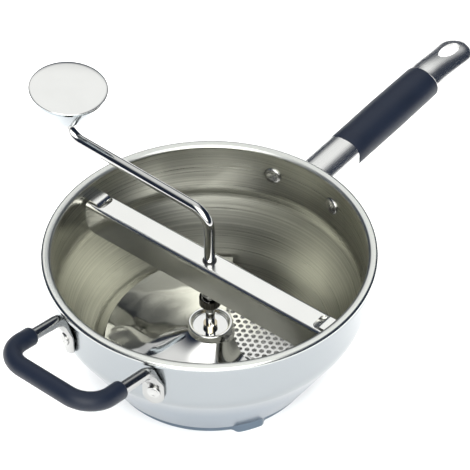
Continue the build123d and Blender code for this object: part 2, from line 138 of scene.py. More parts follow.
DISC_SHEET = 0.7
BORE_PLAY = 0.06
HOLES_FROM_R, HOLES_TO_R = 12, 64
HOLES_ACROSS = 29
BLADE_ROOT_R = 13.2
ROOT_REACH = (12, 44, 1.7)
ROOT_SLOPE = 1.8
HEM_HALF, HEM_HEIGHT = 1.2, 2.2
HEM_STATIONS = (24, 40, 55, 65.5)
KNOB_EDGE = 1.4
KNOB_EDGE_HEIGHTS = (0.65, 1.0)
KNOB_DOME_RISE = 1.15
GRIP_SIZE = (13.6, 10.8)
CAP_SIZE = (13.4, 10.7)
CAP_TIP = 13.3
SLOT_CENTRE = GRIP_LENGTH + 32
SLOT_HALF_LENGTH, SLOT_HALF_WIDTH, SLOT_EGG = 11, 5.0, 0.14
FOOT_HALF_WIDE, FOOT_HALF_THICK = 7.0, 1.6
SLEEVE_R = 5.9
FOOT_RIVET_Y = 35.6
WALL_RIVET = (2.2, SHEET + 2.0, 4.5, 1.6)
FOOT_RIVET = (5.0, 2.0, SHEET + 3.2, 4.2, 1.2)

# Heights in mm over which the bowl's outside fades into painted shade: a painted reflection of the shaded
# floor, darker and bluer towards the bottom.
PAINTED_SHADE_TOP, PAINTED_SHADE_LOW = 54, 34
VIEW_AZIMUTH, VIEW_ELEVATION, VIEW_DISTANCE = -51.3, 42.34, 1.3
VIEW_ASIDE, VIEW_ABOVE, VIEW_LENS = 0.0159, 0.0078, 159.7
OVERHEAD_WATTS, FILL_WATTS = 22, 5.0
FLOOR_HALF = 6000


# ---------------------------------------------------------------- shapes

def polar(radius, angle, height=0.0):
    """Point at a radius and an angle in degrees about Z."""
    return Vector((radius * cos(radians(angle)), radius * sin(radians(angle)), height))


def smooth(value):
    """Ease from 0 to 1."""
    value = min(max(value, 0.0), 1.0)
    return value * value * (3 - 2 * value)


def rounded(points, radii, steps=6):
    """Points of a polyline with an arc at each inner corner."""
    points = [Vector(p).to_3d() for p in points]
    line = [points[0]]
    for before, corner, after, radius in zip(points, points[1:], points[2:], radii):
        back, ahead = (before - corner).normalized(), (after - corner).normalized()
        half = back.angle(ahead) / 2
        centre = corner + (back + ahead).normalized() * (radius / sin(half))
        start = (corner + back * (radius / tan(half)) - centre).normalized()
        end = (corner + ahead * (radius / tan(half)) - centre).normalized()
        line += [centre + start.slerp(end, i / steps) * radius for i in range(steps + 1)]
    return line + [points[-1]]


def rounded_loop(points, radii, steps=6):
    """Closed outline with an arc at every corner."""
    count = len(points)
    ring = [points[(i - 1) % count] for i in range(count + 2)]
    return rounded(ring, [radii[i % count] for i in range(count)], steps)[1:-1]


def sheet_outline(path, thickness):
    """Closed section of bent sheet that lies to the left of a smooth path drawn as (radius, height)."""
    lefts = []
    for i in range(len(path)):
        heading = path[min(i + 1, len(path) - 1)] - path[max(i - 1, 0)]
        lefts.append(Vector((-heading.y, heading.x, 0)).normalized())
    return list(path) + [p + left * thickness for p, left in zip(reversed(path), reversed(lefts))]


def skin(rows, closed_rows=False, closed_columns=True, caps=False):
    """Points and faces of a surface through rows of points."""
    count = len(rows[0])
    points = [p for row in rows for p in row]
    faces = []
    for r in range(len(rows) if closed_rows else len(rows) - 1):
        a, b = r * count, (r + 1) % len(rows) * count
        for c in range(count if closed_columns else count - 1):
            d = (c + 1) % count
            faces.append((a + c, a + d, b + d, b + c))
    if caps:
        last = (len(rows) - 1) * count
        faces.append(tuple(range(count)))
        faces.append(tuple(range(last, last + count)))
    return points, faces


def lathe(outline, segments=96, reshape=None):
    """Turn a closed outline drawn as (radius, height) about Z."""
    rows = []
    for i in range(segments):
        angle = 360 * i / segments
        row = [reshape(p.x, p.y, angle) if reshape else (p.x, p.y) for p in map(Vector, outline)]
        rows.append([polar(radius, angle, height) for radius, height in row])
    return skin(rows, closed_rows=True)


def sweep(path, section, up=(0, 0, 1)):
    """Closed bar along a path; section(i) is its outline at point i, drawn as (side, up)."""
    rows = []
    side = None
    for i, point in enumerate(path):
        heading = (path[min(i + 1, len(path) - 1)] - path[max(i - 1, 0)]).normalized()
        if side is None:
            side = heading.cross(Vector(up)).normalized()
        else:
            side = (side - heading * side.dot(heading)).normalized()
        rise = side.cross(heading)
        rows.append([point + side * u + rise * v for u, v in section(i)])
    return skin(rows, caps=True)


def circle(radius, count=24):
    """Outline of a round bar."""
    return [(radius * cos(2 * pi * i / count), radius * sin(2 * pi * i / count)) for i in range(count)]


def joined(*shapes):
    """Several shapes as one."""
    points, faces = [], []
    for more_points, more_faces in shapes:
        start = len(points)
        points += list(more_points)
        faces += [tuple(start + i for i in face) for face in more_faces]
    return points, faces


def placed(shape, matrix):
    """Shape moved by a matrix."""
    points, faces = shape
    return [matrix @ Vector(p) for p in points], faces


def mesh_from(name, shape):
    """Mesh in metres, with doubles merged and faces outwards."""
    points, faces = shape
    mesh_points = bmesh.new()
    corners = [mesh_points.verts.new(Vector(p) * MM) for p in points]
    for face in faces:
        mesh_points.faces.new([corners[i] for i in face])
    bmesh.ops.remove_doubles(mesh_points, verts=mesh_points.verts, dist=0.005 * MM)
    bmesh.ops.recalc_face_normals(mesh_points, faces=mesh_points.faces)
    mesh = bpy.data.meshes.new(name)
    mesh_points.to_mesh(mesh)
    mesh_points.free()
    return mesh


def add_piece(name, mesh, material, body, slot, replaced=(), sharp=32, bevel=0.0):
    """Put a mesh into the scene as a piece that moves with a body."""
    piece = bpy.data.objects.new(name, mesh)
    bpy.context.scene.collection.objects.link(piece)
    mesh.materials.clear()
    mesh.materials.append(material)
    mesh.shade_smooth()
    mesh.set_sharp_from_angle(angle=radians(sharp))
    if bevel:
        edge = piece.modifiers.new("soft_edges", "BEVEL")
        edge.width = bevel * MM
        edge.segments = 2
        edge.limit_method = "ANGLE"
        edge.angle_limit = radians(sharp)
        edge.harden_normals = True
    if replaced:
        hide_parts(*replaced)
    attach(piece, body)
    return piece


# ---------------------------------------------------------------- finishes

def node(tree, kind, inputs=None, **settings):
    """Add a node; inputs are set by name or number, and linked where the value is a socket."""
    made = tree.nodes.new(kind)
    for key, value in settings.items():
        setattr(made, key, value)
    for key, value in (inputs or {}).items():
        if isinstance(value, bpy.types.NodeSocket):
            tree.links.new(value, made.inputs[key])
        else:
            made.inputs[key].default_value = value
    return made


def math_node(tree, operation, first, second=0.0):
    """Result of an operation on one or two values."""
    return node(tree, "ShaderNodeMath", {0: first, 1: second}, operation=operation).outputs[0]


def geometry_tree(name, numbers, **others):
    """Tree of geometry nodes and what its inputs give: numbers, a material, and others named by kind."""
    tree = bpy.data.node_groups.new(name, "GeometryNodeTree")
    tree.interface.new_socket("Geometry", in_out="OUTPUT", socket_type="NodeSocketGeometry")
    for label, kind in {**dict.fromkeys(numbers, "Float"), **others, "Material": "Material"}.items():
        tree.interface.new_socket(label, in_out="INPUT", socket_type="NodeSocket" + kind)
    return tree, tree.nodes.new("NodeGroupInput").outputs


def finish_tree(tree, geometry, material):
    """Make a tree's geometry real, give it its material and send it out."""
    real = node(tree, "GeometryNodeRealizeInstances", {0: geometry})
    dressed = node(tree, "GeometryNodeSetMaterial", {"Geometry": real.outputs[0], "Material": material})
    tree.links.new(dressed.outputs[0], tree.nodes.new("NodeGroupOutput").inputs[0])
    return tree


def new_finish(name, colour, metallic, roughness, **more):
    """Material with its shader; more sets other sockets of the shader, with spaces as underscores."""
    material = bpy.data.materials.new(name)
    material.use_nodes = True
    shader = material.node_tree.nodes["Principled BSDF"]
    shader.inputs["Base Color"].default_value = (*colour, 1)
    shader.inputs["Metallic"].default_value = metallic
    shader.inputs["Roughness"].default_value = roughness
    for key, value in more.items():
        shader.inputs[key.replace("_", " ")].default_value = value
    return material, material.node_tree, shader


def object_place(tree, scale=(1, 1, 1), turn=(0, 0, 0)):
    """Object coordinates, stretched and turned."""
    place = node(tree, "ShaderNodeTexCoord")
    return node(tree, "ShaderNodeMapping", {"Vector": place.outputs["Object"], "Scale": scale,
            "Rotation": turn}).outputs[0]


def ring_place(tree, fine, along):
    """Coordinates that run with rings about Z: fine along radius and height, coarse round the axis."""
    place = node(tree, "ShaderNodeTexCoord").outputs["Object"]
    parts = node(tree, "ShaderNodeSeparateXYZ", {0: place})
    flat = node(tree, "ShaderNodeCombineXYZ", {"X": parts.outputs["X"], "Y": parts.outputs["Y"]})
    radius = node(tree, "ShaderNodeVectorMath", {0: flat.outputs[0]}, operation="LENGTH")
    around = math_node(tree, "MULTIPLY", math_node(tree, "ARCTAN2", parts.outputs["Y"], parts.outputs["X"]),
            along)
    stretched = [math_node(tree, "MULTIPLY", value, fine) for value in (radius.outputs["Value"],
            parts.outputs["Z"])]
    return node(tree, "ShaderNodeCombineXYZ", {"X": stretched[0], "Y": stretched[1], "Z": around}).outputs[0]


def noise(tree, vector, scale=1.0, detail=2.0, roughness=0.5):
    """Cloudy value from 0 to 1."""
    made = node(tree, "ShaderNodeTexNoise", {"Vector": vector, "Scale": scale, "Detail": detail,
            "Roughness": roughness})
    return made.outputs[0]


def spread(tree, value, low, high):
    """Bring a value from 0 to 1 to another range."""
    return node(tree, "ShaderNodeMapRange", {"Value": value, "To Min": low, "To Max": high}).outputs[0]


def tinted(tree, value, dark, light):
    """Colour between two tones."""
    mixed = node(tree, "ShaderNodeMix", {"Factor": value}, data_type="RGBA")
    mixed.inputs[6].default_value = (*dark, 1)
    mixed.inputs[7].default_value = (*light, 1)
    return mixed.outputs[2]


def bumped(tree, shader, height, strength, distance, under=None):
    """Bump on a shader, over an earlier bump if there is one."""
    inputs = {"Height": height, "Strength": strength, "Distance": distance}
    if under:
        inputs["Normal"] = under
    bump = node(tree, "ShaderNodeBump", inputs)
    tree.links.new(bump.outputs[0], shader.inputs["Normal"])
    return bump.outputs[0]


def brushed_steel(name, colour, roughness, brush, streaks, strength=0.1):
    """Satin steel with fine lines along one direction of the object."""
    material, tree, shader = new_finish(name, colour, 1.0, roughness)
    scale = [25 if axis == streaks else 1800 for axis in "XYZ"]
    lines = noise(tree, object_place(tree, scale), 1.0, 3.0, 0.65)
    cloud = noise(tree, object_place(tree), 28, 3.0)
    tree.links.new(spread(tree, lines, roughness - 0.05, roughness + 0.06), shader.inputs["Roughness"])
    darker = [channel * 0.9 for channel in colour]
    tree.links.new(tinted(tree, cloud, darker, colour), shader.inputs["Base Color"])
    bumped(tree, shader, lines, strength * brush, 0.0001)
    return material


def turned_steel(name, inside, outside, rim, brush):
    """Satin steel: warm with rings about the axis on the inside, smooth and cool outside, with painted shade
    (a painted reflection of the shaded floor) that makes the outside darker and bluer towards the bottom, and
    a painted highlight as a pale band on the rim.
    """
    material, tree, shader = new_finish(name, inside, 1.0, 0.3, Anisotropic=0.5)
    tangent = node(tree, "ShaderNodeTangent", direction_type="RADIAL", axis="Z")
    tree.links.new(tangent.outputs[0], shader.inputs["Tangent"])
    place = node(tree, "ShaderNodeTexCoord").outputs["Object"]
    height = node(tree, "ShaderNodeSeparateXYZ", {0: place}).outputs["Z"]
    level = node(tree, "ShaderNodeVectorMath", {0: place, 1: (1, 1, 0)}, operation="MULTIPLY").outputs[0]
    facing = node(tree, "ShaderNodeNewGeometry").outputs["Normal"]
    outwards = node(tree, "ShaderNodeVectorMath", {0: level, 1: facing},
            operation="DOT_PRODUCT").outputs["Value"]
    outer = math_node(tree, "GREATER_THAN", outwards)
    # Painted highlight: the top of the rim gets a paler colour where it faces the overhead light.
    rim_highlight_mask = node(tree, "ShaderNodeMapRange", {"Value": height, "From Min": (RIM_Z - 2.2) * MM,
            "From Max": (RIM_Z - 0.9) * MM}).outputs[0]
    rings = noise(tree, ring_place(tree, 1100, 0.3), 1.0, 5.0, 0.7)
    lines = node(tree, "ShaderNodeMapRange", {"Value": rings, "From Min": 0.36, "From Max": 0.62}).outputs[0]
    cloud = noise(tree, object_place(tree), 16, 3.0)
    warm = tinted(tree, cloud, [channel * 0.88 for channel in inside], inside)
    ringed = node(tree, "ShaderNodeMix", {"Factor": lines, 7: warm}, data_type="RGBA")
    ringed.inputs[6].default_value = (*(channel * 0.62 for channel in inside), 1)
    # Painted shade: the outside turns darker and bluer towards the bottom, a painted reflection of the shaded
    # floor under the bowl.
    below = node(tree, "ShaderNodeMapRange", {"Value": height, "From Min": PAINTED_SHADE_TOP * MM,
            "From Max": PAINTED_SHADE_LOW * MM}).outputs[0]
    outside_with_painted_shade = tinted(tree, below, outside, [channel * share for channel, share in zip(outside, (0.52,
            0.62, 0.74))])
    colour = node(tree, "ShaderNodeMix", {"Factor": outer, 6: ringed.outputs[2], 7: outside_with_painted_shade},
            data_type="RGBA")
    # Mixes in the painted highlight on the rim.
    topped = node(tree, "ShaderNodeMix", {"Factor": rim_highlight_mask, 6: colour.outputs[2]}, data_type="RGBA")
    topped.inputs[7].default_value = (*rim, 1)
    tree.links.new(topped.outputs[2], shader.inputs["Base Color"])
    ring_rough = spread(tree, lines, 0.27, 0.38)
    rough = node(tree, "ShaderNodeMix", {"Factor": outer, 2: ring_rough, 3: 0.2}, data_type="FLOAT")
    tree.links.new(rough.outputs[0], shader.inputs["Roughness"])
    depth = math_node(tree, "MULTIPLY", lines, spread(tree, outer, 1.0, 0.0))
    bumped(tree, shader, depth, 0.1 * brush, 0.0001)
    return material


def chrome(name, colour, roughness, wave=0.0):
    """Polished plating with a trace of wiping marks; wave sets how deep its slow unevenness is."""
    material, tree, shader = new_finish(name, colour, 1.0, roughness)
    haze = noise(tree, object_place(tree), 60, 4.0)
    tree.links.new(spread(tree, haze, roughness * 0.5, roughness * 1.7), shader.inputs["Roughness"])
    marks = noise(tree, object_place(tree, (900, 300, 300), (0.3, 0.5, 0.2)), 1.0, 2.0)
    tree.links.new(tinted(tree, haze, [c * 0.93 for c in colour], colour), shader.inputs["Base Color"])
    fine = bumped(tree, shader, marks, 0.02, 0.00005)
    if wave:
        slow = noise(tree, object_place(tree, (1, 1, 0.4)), 26, 1.0, 0.4)
        bumped(tree, shader, slow, 1.0, wave * MM, fine)
    return material


def soft_rubber(name, colour):
    """Matt moulded rubber with a fine grain."""
    material, tree, shader = new_finish(name, colour, 0.0, 0.46, Sheen_Weight=0.02, Specular_IOR_Level=0.3)
    grain = noise(tree, object_place(tree), 2600, 2.0)
    patches = noise(tree, object_place(tree), 35, 3.0)
    tree.links.new(spread(tree, patches, 0.40, 0.52), shader.inputs["Roughness"])
    tree.links.new(tinted(tree, patches, [c * 0.8 for c in colour], [c * 1.2 for c in colour]),
            shader.inputs["Base Color"])
    bumped(tree, shader, grain, 0.18, 0.00008)
    return material


def moulded_plastic(name, colour):
    """Smooth moulded plastic with a faint grain."""
    material, tree, shader = new_finish(name, colour, 0.0, 0.35)
    grain = noise(tree, object_place(tree), 1500, 2.0)
    tree.links.new(spread(tree, grain, 0.28, 0.45), shader.inputs["Roughness"])
    bumped(tree, shader, grain, 0.12, 0.00006)
    return material


FINISHES = {}


def finish(name):
    """Material of a slot, made once from the colours in the panel."""
    if name not in FINISHES:
        look = bpy.context.scene.mill_finishes
        steel, bright = list(look.steel_colour), list(look.chrome_colour)
        makers = {
            "bowl": lambda: turned_steel("bowl_steel", steel, list(look.outside_colour),
            list(look.rim_highlight_colour),
                look.brushing),
            "blade": lambda: chrome("blade_steel", [c * 0.8 for c in bright], 0.07, 4.5),
            "rod": lambda: chrome("rod_steel", [c * 0.68 for c in bright], 0.08),
            # The knob's flared underside gets a darker, blue-green copy of the bright steel: painted shade
            # and painted reflection on the part that faces down, while the domed cap keeps the bright steel.
            "knob": lambda: chrome("knob_steel", [c * share for c, share in zip(bright, (0.44, 0.49,
            0.53))], 0.12),
            "disc": lambda: brushed_steel("disc_steel", bright, 0.2, look.brushing, "X", 0.05),
            "bar": lambda: brushed_steel("bar_steel", list(look.bar_colour), 0.2, look.brushing, "Y", 0.06),
            "handle": lambda: brushed_steel("handle_steel", bright, 0.26, look.brushing, "X", 0.05),
            "tube": lambda: brushed_steel("tube_steel", [c * 0.52 for c in bright], 0.2, look.brushing, "X",
            0.04),
            "chrome": lambda: chrome("polished_steel", bright, 0.06),
            "rivet": lambda: chrome("rivet_steel", [c * 0.6 for c in bright], 0.22),
            # The spring's colour is raised above the bright steel: painted light, so its coils stay bright
            # inside the shaded cup.
            "spring": lambda: chrome("spring_steel", [c * 1.2 for c in bright], 0.2),
            # Near-black steel for the spring cup and seat ring: painted shade, standing in for the shadow
            # inside the cup under the crossbar.
            "dark": lambda: brushed_steel("dark_steel", (0.10, 0.095, 0.085), 0.26, look.brushing, "Z"),
            "brass": lambda: chrome("brass_tone", list(look.brass_colour), 0.15),
            "grip": lambda: soft_rubber("soft_grip", list(look.grip_colour)),
            "nylon": lambda: moulded_plastic("black_nylon", (0.012, 0.012, 0.014)),
        }
        FINISHES[name] = makers[name]()
    return FINISHES[name]


# ---------------------------------------------------------------- bowl and disc

def bowl_shape():
    """Drawn sheet: collar with three pockets, shoulder, conical floor, wall and rolled rim."""
    under, lip = RIM_Z - SHEET, RIM_R - SHEET
    corners = [(COLLAR_R, 0), (COLLAR_R, SHOULDER_Z), (SHOULDER_R, SHOULDER_Z), (WALL_R, WALL_FOOT_Z),
               (WALL_R, under), (lip, under), (lip, under - 2.4)]
    path = rounded(corners, [0.6, 2.0, WALL_FOOT_R, 1.7, 1.2], steps=9)

    def pressed(radius, height, angle):
        off = min(abs((angle - pocket + 180) % 360 - 180) for pocket in POCKET_ANGLES)
        share = 1 - smooth((radians(off) * COLLAR_R - POCKET_HALF + 2.5) / 4)
        if height < SHOULDER_Z + SHEET + 0.2 and radius < SHOULDER_R:
            fade = min(1.0, (SHOULDER_R - radius) / (SHOULDER_R - COLLAR_R))
            radius += (POCKET_R - COLLAR_R) * share * fade
        return radius, height

    return lathe(sheet_outline(path, SHEET), 288, pressed)


def perforation_tree():
    """Disc with raised perforations on a staggered grid."""
    tree, given = geometry_tree("perforated_disc", (
        "Pitch", "Hole Radius", "Inner Limit", "Outer Limit", "Disc Radius", "Bore", "Low", "Thickness",
        "Burr"))
    count = HOLES_ACROSS

    def math(operation, first, second=0.0):
        return math_node(tree, operation, first, second)

    row_height = math("MULTIPLY", given["Pitch"], sin(pi / 3))
    grid = node(tree, "GeometryNodeMeshGrid", {
        "Size X": math("MULTIPLY", given["Pitch"], count - 1),
        "Size Y": math("MULTIPLY", row_height, 2 * (count // 2) + 2),
        "Vertices X": count, "Vertices Y": count + 2})
    place = node(tree, "GeometryNodeInputPosition").outputs[0]
    parts = node(tree, "ShaderNodeSeparateXYZ", {0: place})
    row = math("ROUND", math("DIVIDE", parts.outputs["Y"], row_height))
    odd = math("ABSOLUTE", math("MODULO", row, 2.0))
    shift = node(tree, "ShaderNodeCombineXYZ", {"X": math("MULTIPLY", odd, math("MULTIPLY", given["Pitch"],
            0.5))})
    staggered = node(tree, "GeometryNodeSetPosition", {"Geometry": grid.outputs["Mesh"],
            "Offset": shift.outputs[0]})
    reach = node(tree, "ShaderNodeVectorMath", {0: place}, operation="LENGTH").outputs["Value"]
    inside = node(tree, "FunctionNodeCompare", {0: reach, 1: given["Inner Limit"]}, operation="LESS_THAN")
    outside = node(tree, "FunctionNodeCompare", {0: reach, 1: given["Outer Limit"]}, operation="GREATER_THAN")
    away = node(tree, "FunctionNodeBooleanMath", {0: inside.outputs[0], 1: outside.outputs[0]},
            operation="OR")
    kept = node(tree, "GeometryNodeDeleteGeometry", {"Geometry": staggered.outputs[0],
            "Selection": away.outputs[0]})

    def ring(radius, resolution):
        return node(tree, "GeometryNodeCurvePrimitiveCircle",
                {"Radius": radius, "Resolution": resolution}).outputs["Curve"]

    holes = node(tree, "GeometryNodeInstanceOnPoints", {
        "Points": kept.outputs[0], "Instance": ring(math("MULTIPLY", given["Hole Radius"], 1.12), 14)})
    real_holes = node(tree, "GeometryNodeRealizeInstances", {0: holes.outputs[0]})
    outline = node(tree, "GeometryNodeJoinGeometry")
    for curve in (ring(given["Disc Radius"], 192), ring(given["Bore"], 24), real_holes.outputs[0]):
        tree.links.new(curve, outline.inputs[0])
    face = node(tree, "GeometryNodeFillCurve", {"Curve": outline.outputs[0]})
    lift = node(tree, "ShaderNodeCombineXYZ", {"Z": given["Low"]})
    under = node(tree, "GeometryNodeSetPosition", {"Geometry": face.outputs[0], "Offset": lift.outputs[0]})
    up = node(tree, "ShaderNodeCombineXYZ", {"Z": 1.0})
    top = node(tree, "GeometryNodeExtrudeMesh", {
        "Mesh": under.outputs[0], "Offset": up.outputs[0], "Offset Scale": given["Thickness"],
        "Individual": False})
    flipped = node(tree, "GeometryNodeFlipFaces", {"Mesh": under.outputs[0]})

    burr_section = node(tree, "GeometryNodeCurvePrimitiveQuadrilateral", {}, mode="POINTS")
    height = math("ADD", given["Thickness"], given["Burr"])
    radius = given["Hole Radius"]
    for label, side, level in (("Point 1", math("MULTIPLY", radius, 1.55),
            math("MULTIPLY", given["Thickness"], 0.97)),
            ("Point 2", math("MULTIPLY", radius, 1.12), height),
            ("Point 3", math("MULTIPLY", radius, 0.95), math("MULTIPLY", height, 0.97)),
            ("Point 4", math("MULTIPLY", radius, 0.95),
            math("MULTIPLY", given["Thickness"], 0.05))):
        corner = node(tree, "ShaderNodeCombineXYZ", {"X": math("SUBTRACT", side, radius), "Y": level})
        tree.links.new(corner.outputs[0], burr_section.inputs[label])
    burr = node(tree, "GeometryNodeCurveToMesh", {
        "Curve": ring(radius, 14), "Profile Curve": burr_section.outputs[0], "Fill Caps": False})
    raised = node(tree, "GeometryNodeSetPosition", {"Geometry": burr.outputs[0], "Offset": lift.outputs[0]})
    burrs = node(tree, "GeometryNodeInstanceOnPoints", {"Points": kept.outputs[0],
            "Instance": raised.outputs[0]})

    plate = node(tree, "GeometryNodeJoinGeometry")
    for part in (top.outputs["Mesh"], flipped.outputs[0]):
        tree.links.new(part, plate.inputs[0])
    closed = node(tree, "GeometryNodeMergeByDistance", {"Geometry": plate.outputs[0], "Distance": 0.002 * MM})
    together = node(tree, "GeometryNodeJoinGeometry")
    for part in (closed.outputs[0], burrs.outputs[0]):
        tree.links.new(part, together.inputs[0])
    return finish_tree(tree, together.outputs[0], given["Material"])


def grown(name, tree, values):
    """Mesh that a tree of geometry nodes makes with the given inputs."""
    host = bpy.data.objects.new(name, bpy.data.meshes.new(name))
    bpy.context.scene.collection.objects.link(host)
    growth = host.modifiers.new("growth", "NODES")
    growth.node_group = tree
    for item in tree.interface.items_tree:
        if item.in_out == "INPUT" and item.name in values:
            growth[item.identifier] = values[item.name]
    host.update_tag()
    depsgraph = bpy.context.evaluated_depsgraph_get()
    mesh = bpy.data.meshes.new_from_object(host.evaluated_get(depsgraph))
    bpy.data.objects.remove(host)
    if len(mesh.polygons) == 0:
        raise RuntimeError(f"{name} came out empty")
    return mesh


def outward(mesh):
    """Merge a mesh's doubles and point its faces outwards."""
    loose = bmesh.new()
    loose.from_mesh(mesh)
    bmesh.ops.remove_doubles(loose, verts=loose.verts, dist=0.002 * MM)
    bmesh.ops.recalc_face_normals(loose, faces=loose.faces)
    loose.to_mesh(mesh)
    loose.free()
    return mesh


# ---------------------------------------------------------------- crank, hub and blade

def hub_shape():
    """Cup with a rolled rim, pressed up in the middle of the blade."""
    top = HUB_TOP_Z - 1.0
    under = HUB_FLOOR_Z - 1.5
    outline = rounded_loop([(14.8, top), (14.8, under - 1.5), (16.0, under - 5), (14.5, under - 5),
            (12.4, under),
            (POST_R, under), (POST_R, HUB_FLOOR_Z), (11.9, HUB_FLOOR_Z), (12.1, top)],
            [1.3, 2, 0.4, 0.4, 1.5, 0.3, 0.3, 1.2, 1.3])
    return lathe(outline, 96)


def blade_shape():
    """Helical plate that sweeps up out of the hub, flat on the disc at its trailing edge."""
    turns, spans = 120, 30
    start = BLADE_ROOT_R
    least, gain, rate = ROOT_REACH
    rows = []
    for j in range(turns + 1):
        part = 1 - j / turns
        level = BLADE_LOW_Z + BLADE_THICK / 2 + BLADE_RISE * part ** BLADE_CURVE
        reach = least + gain * smooth(part * rate)
        row = []
        for i in range(spans + 1):
            radius = start + (BLADE_R - start) * i / spans
            spill = degrees(asin(EDGE_OFFSET / radius))
            first, last = LEADING_ANGLE - spill, 360 + TRAILING_ANGLE + spill
            near = max(0.0, 1 - (radius - start) / reach)
            height = level + (HUB_FLOOR_Z - 1.5 - level) * near ** ROOT_SLOPE
            row.append(polar(radius, last + (first - last) * part, height))
        rows.append(row)
    top = [[p + Vector((0, 0, BLADE_THICK / 2)) for p in row] for row in rows]
    low = [[p - Vector((0, 0, BLADE_THICK / 2)) for p in reversed(row)] for row in rows]
    return skin([a + b for a, b in zip(top, low)], caps=True)


def hem_shape():
    """Folded strip along the blade's trailing edge."""
    outline = rounded_loop([(-HEM_HALF, 0), (HEM_HALF, 0), (HEM_HALF, HEM_HEIGHT), (-HEM_HALF, HEM_HEIGHT)],
            [0.7] * 4, 3)
    section = [(p.x, p.y) for p in outline]
    y = EDGE_OFFSET + HEM_HALF
    path = [Vector((x, y, BLADE_LOW_Z)) for x in HEM_STATIONS]
    return placed(sweep(path, lambda i: section), Matrix.Rotation(radians(TRAILING_ANGLE), 4, "Z"))


def crank_shape():
    """Bent rod: chamfered post, shoulder, upright, rising arm and stem."""
    tip_z = box_mm("crank_rod")[0].z
    end = CRANK_CORNER + STEM * STEM_LENGTH
    bent = rounded([(0, 0, ROD_STEP_Z), (0, 0, CRANK_Z), CRANK_CORNER, end], CRANK_BENDS, 14)
    post = [Vector((0, 0, z)) for z in (tip_z, tip_z + 1, ROD_STEP_Z - 0.02, ROD_STEP_Z - 0.01)]
    tip = [end + STEM * 0.01]
    path = post + bent + tip
    radii = [POST_R - 1, POST_R, POST_R, ROD_R - 0.5] + [ROD_R] * len(bent) + [ROD_R - 0.6]
    return sweep(path, lambda i: circle(radii[i], 32), up=(1, 0, 0))


def knob_frame():
    """Place of the knob's lower end, with +Z along the stem."""
    turn = Vector((0, 0, 1)).rotation_difference(STEM).to_matrix().to_4x4()
    return Matrix.Translation(CRANK_CORNER + STEM * KNOB_START) @ turn


def knob_shell_shape():
    """Flared underside with a thin edge below the cap."""
    outer = rounded([(4.7, 0), (7.2, 0.2), (10.8, 1.9), (KNOB_R - 0.5, KNOB_HEIGHT - 1.6),
            (KNOB_R - 0.2, KNOB_HEIGHT)],
            [1.2, 9.0, 1.2], 8)
    inner = rounded([(KNOB_R - 1.4, KNOB_HEIGHT), (KNOB_R - 1.6, KNOB_HEIGHT - 1.2), (10.0, 3.2),
            (4.7, 3.2)], [1, 6], 5)
    return placed(lathe(outer + inner, 128), knob_frame())


def knob_cap_shape():
    """Shallow dome with a rounded edge and a low step around it."""
    side, shoulder = (KNOB_HEIGHT + height for height in KNOB_EDGE_HEIGHTS)
    edge = rounded([(0, KNOB_HEIGHT), (KNOB_R, KNOB_HEIGHT), (KNOB_R, side), (KNOB_R - KNOB_EDGE, shoulder)],
            [0.25, 0.55], 4)
    dome = []
    for i in range(1, 13):
        share = 1 - i / 12
        dome.append(Vector(((KNOB_R - KNOB_EDGE) * share, shoulder + KNOB_DOME_RISE * (1 - share ** 2), 0)))
    return placed(lathe(edge + dome, 128), knob_frame())


# ---------------------------------------------------------------- handles

def handle_frame(distance=0.0):
    """Place on the long handle's axis: +X outwards along it, +Z up."""
    turn = Matrix.Rotation(radians(-HANDLE_TILT), 4, "Y")
    return Matrix.Translation(HANDLE_START) @ turn @ Matrix.Translation((distance, 0, 0))


def oval(half_width, half_height, count=64, power=2.0, crease=0.0):
    """Oval outline; crease lifts two lengthwise shoulders on the upper side."""
    outline = []
    for i in range(count):
        angle = 360 * i / count
        c, s = cos(radians(angle)), sin(radians(angle))
        swell = (abs(c) ** power + abs(s) ** power) ** (-1 / power)
        for shoulder in (45, 135, 225, 315):
            off = abs(angle - shoulder)
            swell += crease * max(0.0, 1 - off / 42)
        outline.append((half_width * c * swell, half_height * s * swell))
    return outline


def along_handle(stations):
    """Closed bar along the handle; stations are (distance, outline)."""
    rows = [[Vector((x, y, z)) for y, z in outline] for x, outline in stations]
    return placed(skin(rows, caps=True), handle_frame())


def neck_shape():
    """Neck with a lengthwise shoulder each side, which ends on the bowl's bracket."""
    inside = WALL_R + 1.0 - HANDLE_START.x
    stations = [(inside + (0.0 - inside) * i / 6, oval(NECK_SIZE[0], NECK_SIZE[1], 64, 2.0,
            0.075)) for i in range(7)]
    return along_handle(stations)


def grip_shape():
    """Soft sleeve with rounded ends, slightly fuller in the middle."""
    stations = []
    for x, share in ((0, 0.955), (0.25, 0.985), (0.8, 1.0), (12, 1.0), (45, 1.02), (78, 1.005), (89.2, 1.0),
            (90, 0.985)):
        stations.append((x, oval(GRIP_SIZE[0] * share, GRIP_SIZE[1] * share, 64, 2.05)))
    return along_handle(stations)


def cap_shape():
    """End cap: light rim at the grip, then a body that flattens to a rounded tip."""
    start, end = GRIP_LENGTH + 0.05, GRIP_LENGTH + CAP_LENGTH - 0.1
    stations = [(start, oval(13.0, 10.2)), (start + 0.4, oval(13.55, 10.75)), (start + 1.2, oval(13.5, 10.7))]
    wide, tall = CAP_SIZE
    count = 22
    for i in range(1, count + 1):
        share = i / count
        x = start + 1.2 + (end - start - 1.2) * sin(share * pi / 2)
        back = max(0.0, x - (end - CAP_TIP)) / CAP_TIP
        half_width = wide * sqrt(max(0.0, 1 - back ** 2.3))
        top = tall - 5.0 * smooth((x - start - 2) / (end - start)) - 2.6 * back ** 3
        bottom = tall - 8.2 * smooth((x - start - 1) / 40) - 1.2 * back ** 3
        outline = [(max(half_width, 0.15) / wide * y, (max(top, 0.4) if z > 0 else max(bottom,
                0.3)) * z / tall)
                   for y, z in oval(wide, tall, 64, 2.2)]
        stations.append((x, outline))
    return along_handle(stations)


